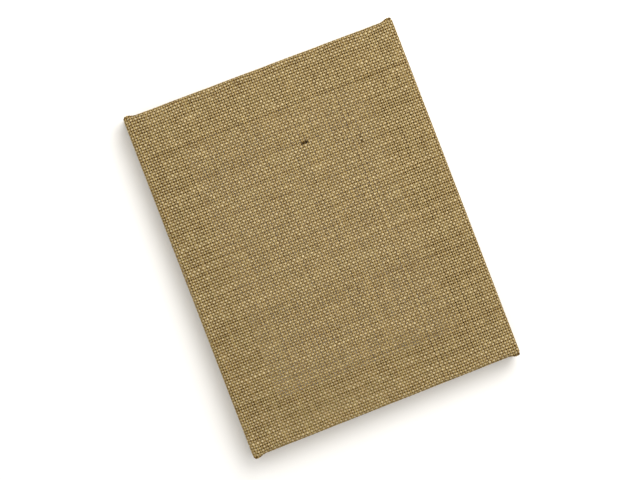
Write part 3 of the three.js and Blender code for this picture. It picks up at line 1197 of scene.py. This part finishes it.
@dataclass
class Fuzz:
    """Loose fibres that hang across the gaps of the weave, inside the frame's opening."""

    cloth: Cloth
    count: int = 16384
    columns: int = 128  # of cells on the map
    clear: float = 2.0 * MM  # left free along the bars
    length: tuple[float, float] = (2.2 * MM, 4.4 * MM)
    width: float = 0.18 * MM
    thickness: float = 0.05 * MM
    height: tuple[float, float] = (-0.22 * MM, 0.15 * MM)  # over the cloth's back
    climb: float = 0.06  # spread of their slopes
    tone: float = 0.5
    uneven_tone: float = 0.15
    # where the fibres sit on the yarns' painted shade and highlight, from 0 to 1
    crown: float = 0.4
    seed: int = 31

    def _places(self) -> Array:
        """The map's place for each corner of each face: a cell for each fibre, in six parts.

        Returns:
            The places, for each fibre, face and corner.
        """
        number, face = np.arange(self.count), np.arange(6)
        cell = vectors(number % self.columns, number // self.columns)
        inside = np.array([[0.1, 0.1], [0.9, 0.1], [0.9, 0.9], [0.1, 0.9]])
        step = vectors(face % 3 / 3, face // 3 / 2)
        spot = step[:, None] + inside[None] * np.array([1 / 3, 1 / 2])
        rows = math.ceil(self.count / self.columns)
        return (cell[:, None, None] + spot[None]) / np.array([self.columns, rows])

    def build(self, material: Material) -> None:
        """Makes all fibres as one mesh of slim straight blocks.

        Each one starts from a middle point, and its eight corners are that point plus or less
        half of its length, width and thickness along its own three directions.

        Args:
            material: the yarns' finish.
        """
        rng = np.random.default_rng(self.seed)
        n = self.count
        under = self.cloth.across.front - self.cloth.across.thickness / 2
        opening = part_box("side_bar_right")[0].x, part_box("end_bar_top")[0].y
        middle = vectors(
            rng.uniform(-1, 1, n) * (opening[0] - self.clear),
            rng.uniform(-1, 1, n) * (opening[1] - self.clear),
            under + rng.uniform(*self.height, n),
        )
        heading, climb = rng.uniform(0, 2 * math.pi, n), rng.normal(0, self.climb, n)
        along = vectors(np.cos(heading), np.sin(heading), climb)
        aside = vectors(-np.sin(heading), np.cos(heading), 0.0)
        upwards = np.cross(along, aside)
        half = rng.uniform(*self.length, n) / 2
        sign = np.array([[i, j, k] for i in (-1, 1) for j in (-1, 1) for k in (-1, 1)])
        corners = (
            middle[:, None]
            + (sign[:, 0] * half[:, None])[..., None] * along[:, None]
            + (sign[:, 1] * self.width / 2)[None, :, None] * aside[:, None]
            + (sign[:, 2] * self.thickness / 2)[None, :, None] * upwards[:, None]
        )
        block = np.array(
            [[0, 1, 3, 2], [4, 6, 7, 5], [0, 4, 5, 1], [2, 3, 7, 6], [0, 2, 6, 4], [1, 5, 7, 3]]
        )
        faces = (block[None] + 8 * np.arange(n)[:, None, None]).reshape(-1, 4)
        tone = np.repeat(np.clip(rng.normal(self.tone, self.uneven_tone, n), 0, 1), 8)
        piece = mesh_piece(
            "burlap_fuzz",
            corners.reshape(-1, 3),
            faces,
            self._places().reshape(-1, 2),
            {"tone": tone, "crown": np.full(8 * n, self.crown)},
        )
        stand_for_cover(piece, material)


# ---- The wooden frame ----


@dataclass
class WoodenFrame:
    """The bars, the fasteners across their mitres, and the staples."""

    nodes: dict[str, Piece]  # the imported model's objects, by name

    def _paint(self, start: str, material: Material) -> None:
        """Gives a material to every node whose name starts that way.

        Args:
            start: of the names.
            material: what they get.
        """
        for name, node in self.nodes.items():
            if name.startswith(start):
                node.data.materials.clear()
                node.data.materials.append(material)
                log.info("%s: %s", name, material.name)

    def dress(self, pine: PineFinish, fastener: SteelFinish, wire: SteelFinish) -> None:
        """Gives each kind of piece its finish.

        Args:
            pine: the bars' finish.
            fastener: the corrugated fasteners' finish.
            wire: the staples' finish.
        """
        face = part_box("end_bar_top")[1].z
        self._paint("end_bar", pine.material("pine_across", Grain.ACROSS, face))
        self._paint("side_bar", pine.material("pine_along", Grain.ALONG, face))
        self._paint("corner_fastener", fastener.material("fastener_steel"))
        self._paint("staple", wire.material("staple_wire"))


# ---- The studio ----


@dataclass(frozen=True)
class Studio:
    """A pale table, soft light from all round, and a camera straight over the panel."""

    table_size: float = 6.0
    table_drop: float = 0.2 * MM  # how far it lies under the folded corners
    light: Colour = (1.0, 0.985, 0.96)
    sky: float = 0.86
    key_power: float = 7.6
    key_size: float = 0.8
    key_at: Triple = (0.42, 0.42, 0.75)
    lens: float = 100.0
    distance: float = 1.2613
    roll: float = math.radians(21.05)  # the panel lies turned to the left by this
    lean: tuple[float, float] = (-4.36, -1.43)  # degrees off straight down, to its right and top
    aim: tuple[float, float] = (-3.1 * MM, -1.3 * MM)

    def _table(self) -> None:
        """Lays a large plain table under the panel."""
        half = self.table_size / 2
        corners = ((-half, -half), (half, -half), (half, half), (-half, half))
        mesh = bpy.data.meshes.new("table")
        mesh.from_pydata([(x, y, -self.table_drop) for x, y in corners], [], [range(4)])
        mesh.materials.append(FloorFinish().material("table"))
        added("table", mesh)
        log.info("table: %.1f m square", self.table_size)

    def _lights(self) -> None:
        """Sets an even white sky, and one large soft lamp to the upper right."""
        world = bpy.data.worlds.new("sky")
        world.use_nodes = True
        ground = world.node_tree.nodes["Background"]
        ground.inputs["Color"].default_value = (*self.light, 1.0)
        ground.inputs["Strength"].default_value = self.sky
        bpy.context.scene.world = world
        lamp = bpy.data.lights.new("key", "AREA")
        lamp.energy = self.key_power
        lamp.size = self.key_size
        lamp.color = self.light
        key = added("key", lamp)
        key.location = self.key_at
        key.rotation_mode = "QUATERNION"
        key.rotation_quaternion = (-Vector(self.key_at)).to_track_quat("-Z", "Y")

    def _camera(self, height: float) -> None:
        """Hangs the camera over the panel, rolled as the panel lies in its view.

        Args:
            height: of the face that it looks at.
        """
        right = Vector((math.cos(self.roll), -math.sin(self.roll), 0.0))
        top = Vector((math.sin(self.roll), math.cos(self.roll), 0.0))
        aside, ahead = (math.tan(math.radians(angle)) for angle in self.lean)
        back = (Vector((0.0, 0.0, 1.0)) + right * aside + top * ahead).normalized()
        right = (right - back * right.dot(back)).normalized()
        up = back.cross(right)
        data = bpy.data.cameras.new("camera")
        data.lens = self.lens
        camera = added("camera", data)
        turn = Matrix((right, up, back)).transposed().to_4x4()
        place = Vector((*self.aim, height)) + back * self.distance
        camera.matrix_world = Matrix.Translation(place) @ turn
        bpy.context.scene.camera = camera

    def build(self, height: float) -> None:
        """Sets up the camera, the table and the lights.

        Args:
            height: of the face that the camera looks at.
        """
        self._camera(height)
        self._table()
        self._lights()
        bpy.context.scene.view_settings.view_transform = "Standard"


def main() -> None:
    """Builds the studio, dresses the frame and weaves the cloth."""
    logging.basicConfig(level=logging.INFO, format="%(name)s: %(message)s")
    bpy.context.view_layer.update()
    cloth = Cloth.from_frame()
    Studio().build(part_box(COVER_NODE)[1].z)
    WoodenFrame(frame["nodes"]).dress(PineFinish(), SteelFinish(), SteelFinish(roughness=0.26))
    burlap = Burlap(cloth)
    burlap.build()
    burlap.dress(
        {
            Run.LENGTHWISE: BurlapFinish(
                dark=(0.25, 0.16, 0.047),
                body=(0.53, 0.393, 0.16),
                pale=(0.55, 0.41, 0.17),
                # painted shade down between the lengthwise yarns
                deep=(0.15, 0.075, 0.012),
            ),
            Run.CROSSWISE: BurlapFinish(
                dark=(0.14, 0.085, 0.024), body=(0.32, 0.23, 0.089), pale=(0.865, 0.715, 0.42)
            ),
        }
    )
    Fuzz(cloth).build(burlap.finishes[Run.LENGTHWISE])


if __name__ == "__main__":
    main()
